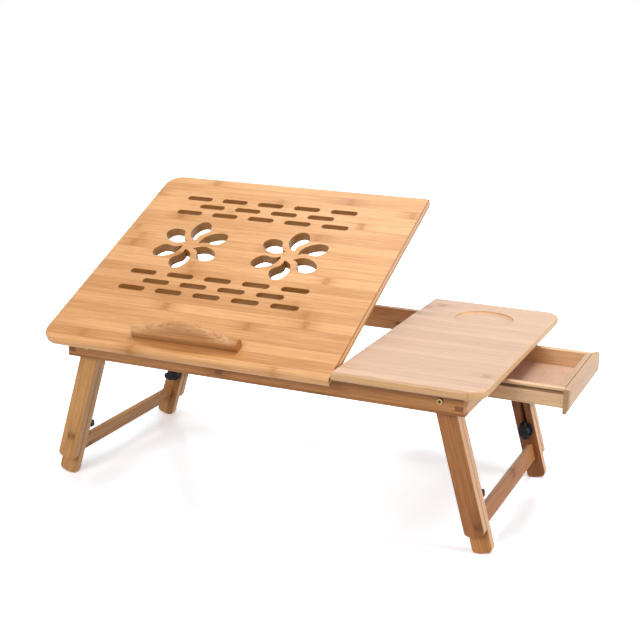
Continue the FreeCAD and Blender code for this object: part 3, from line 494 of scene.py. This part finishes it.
slideShadeLook = {"share": 0.80, "half": 0.0012}    # painted shade: the dark line in the gap where the bars of a leg meet
for side in ("left", "right"):
    up = joints[side + "_leg_extension"]["axis"]
    turn = (0.0, math.atan2(up[0], up[2]), 0.0)
    look = bambooLooks[side + "Leg"]
    front, rear = [[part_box(part + side + end) for part in ("upper_leg_", "lower_leg_")]
                   for end in ("_front", "_rear")]
    meets = [(front[0][1][1] + front[1][0][1]) / 2, (rear[0][0][1] + rear[1][1][1]) / 2]
    slidePaintedShade = [(slideShadeLook["share"], {"y": (meet, slideShadeLook["half"])}) for meet in meets]
    upperWood = bamboo(side + "UpperLegBamboo", look, "zxy", turn, paintedShade=slidePaintedShade)
    wear(["upper_leg_" + side + end for end in ("_front", "_rear")], upperWood)
    lowerWood = bamboo(side + "LowerLegBamboo", look, "zxy", turn)
    wear(["lower_leg_" + side + end for end in ("_front", "_rear")], lowerWood)
    if side == "right":
        footWood = bamboo("rightFootBamboo", dict(look, **rightFoot), "zxy", turn)
        wear(["lower_leg_right_front"], footWood)
    stretcherWood = bamboo(side + "StretcherBamboo", dict(look, ior=stretcherIor), "yzx", turn)
    wear(["stretcher_" + side], stretcherWood)
print("legs done")

legPivot = joints["right_leg_fold"]["pos_m"]
wear(["pivot_bolts"], boltMetal("yellowZinc", boltLook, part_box("pivot_bolts"), legPivot))
steelPieces = [name for name in nodes if "screws" in name or "hinge" in name]
steelPieces += ["pivot_nuts", "prop_pins", "knob_studs_left", "knob_studs_right"]
wear(steelPieces, steel("zincSteel", steelLook))
knobPieces = [name for name in nodes if name.startswith("wing_knob")]
wear(knobPieces, blackPlastic("blackPlastic", knobLook))
print("metal and plastic done")

stageLook = {
    "floorHalf": 12.0,          # metres
    "floorColour": (0.62, 0.62, 0.62, 1),
    "floorGlow": 0.04,          # a plain studio floor, lit past white but for the darkest shadows
    "floorGain": (1.74, 1.90, 2.04, 1),
    "floorLit": (0.40, 1.2),    # from this far out to that far out the floor glows more
    "floorMore": 0.9,
    "gloss": 0.12, "glossRough": 0.10,
    "ambient": 0.45,
    "key": {"place": (0.25, 0.10, 1.55), "aim": (0.0, 0.0, 0.1), "size": 0.60, "power": 10.5},
    "sheen": {"place": (-0.42, 0.80, 1.35), "aim": (0.0, 0.1, 0.3), "size": 0.60, "power": 1.6},
    "side": {"place": (1.65, 0.15, 0.50), "aim": (0.0, 0.0, 0.1), "size": 0.60, "power": 10.5},
    "front": {"place": (-0.35, -1.90, 1.10), "aim": (0.0, 0.0, 0.1), "size": 0.90, "power": 16.0},
    "camera": {
        "place": (0.5775, -1.38022, 0.62569), "yaw": -23.1919, "pitch": -15.56266, "roll": 1.0616,
        "lens": 70.8128,
    },
}


def makeFloor(look):
    mesh = bpy.data.meshes.new("floor")
    half = look["floorHalf"]
    corners = [(-half, -half, 0), (half, -half, 0), (half, half, 0), (-half, half, 0)]
    mesh.from_pydata(corners, [], [(0, 1, 2, 3)])
    floor = bpy.data.objects.new("floor", mesh)
    bpy.context.scene.collection.objects.link(floor)
    graph = Graph(bpy.data.materials.new("floorPaint"))
    # what the camera sees: a bright floor with the object's shadow and a faint gloss
    bright = graph.add("ShaderNodeBsdfDiffuse", None, {"Color": look["floorGain"]})
    glows = [look["floorGlow"], look["floorGlow"] + look["floorMore"]]
    faint, strong = [graph.add("ShaderNodeEmission", None, {"Color": white, "Strength": glow})
                     for glow in glows]
    length = {"operation": "LENGTH"}
    away = graph.add("ShaderNodeVectorMath", length, {0: graph.surface("Object")}, "Value")
    glow = graph.blend(graph.ease(away, *look["floorLit"]), faint, strong)
    lit = graph.add("ShaderNodeAddShader", None, {0: bright, 1: glow})
    inputs = {"Color": white, "Roughness": look["glossRough"]}
    seen = graph.blend(look["gloss"], lit, graph.add("ShaderNodeBsdfGlossy", None, inputs))
    # from below the floor is clear, so that the underside can be looked at
    under = graph.add("ShaderNodeNewGeometry", None, None, "Backfacing")
    seen = graph.blend(under, seen, graph.add("ShaderNodeBsdfTransparent"))
    # the object is lit by a plain matt floor, and its gloss shows a white one
    matt = graph.add("ShaderNodeBsdfDiffuse", None, {"Color": look["floorColour"]})
    plain = graph.add("ShaderNodeEmission", None, {"Color": white, "Strength": 1.0})
    mirrored = graph.most(graph.path("Is Glossy Ray"), graph.path("Is Transmission Ray"))
    paint = graph.blend(graph.path("Is Camera Ray"), matt, seen)
    graph.add("ShaderNodeOutputMaterial", None, {"Surface": graph.blend(mirrored, paint, plain)})
    mesh.materials.append(graph.owner)


def makeWorld(look):
    graph = Graph(bpy.data.worlds.new("studio"))
    strengths = [look["ambient"], 1.0]
    dim, plain = [graph.add("ShaderNodeBackground", None, {"Color": white, "Strength": strength})
                  for strength in strengths]
    mirrored = graph.most(graph.path("Is Glossy Ray"), graph.path("Is Transmission Ray"))
    direct = graph.most(graph.path("Is Camera Ray"), mirrored)
    surface = graph.blend(direct, dim, plain)
    graph.add("ShaderNodeOutputWorld", None, {"Surface": surface})
    bpy.context.scene.world = graph.owner


def makeLamp(name, look):
    data = bpy.data.lights.new(name, "AREA")
    data.shape = "DISK"
    data.size = look["size"]
    data.energy = look["power"]
    lamp = bpy.data.objects.new(name, data)
    lamp.location = look["place"]
    aim = Vector(look["aim"]) - Vector(look["place"])
    lamp.rotation_euler = aim.to_track_quat("-Z", "Y").to_euler()
    bpy.context.scene.collection.objects.link(lamp)
    return lamp


def makeCamera(look):
    data = bpy.data.cameras.new("camera")
    data.sensor_width = 36.0
    data.lens = look["lens"]
    camera = bpy.data.objects.new("camera", data)
    yaw, pitch, roll = [math.radians(look[key]) for key in ("yaw", "pitch", "roll")]
    turn = Matrix.Rotation(-yaw, 4, "Z") @ Matrix.Rotation(math.pi / 2 + pitch, 4, "X")
    turn = turn @ Matrix.Rotation(roll, 4, "Z")
    camera.matrix_world = Matrix.Translation(look["place"]) @ turn
    bpy.context.scene.collection.objects.link(camera)
    bpy.context.scene.camera = camera


makeFloor(stageLook)
makeWorld(stageLook)
lamps = {name: makeLamp(name, stageLook[name]) for name in ("key", "sheen", "side", "front")}
lamps["sheen"].visible_diffuse = False      # it only puts a sheen on the lacquer
makeCamera(stageLook["camera"])
bpy.context.scene.view_settings.view_transform = "Standard"
print("stage done")
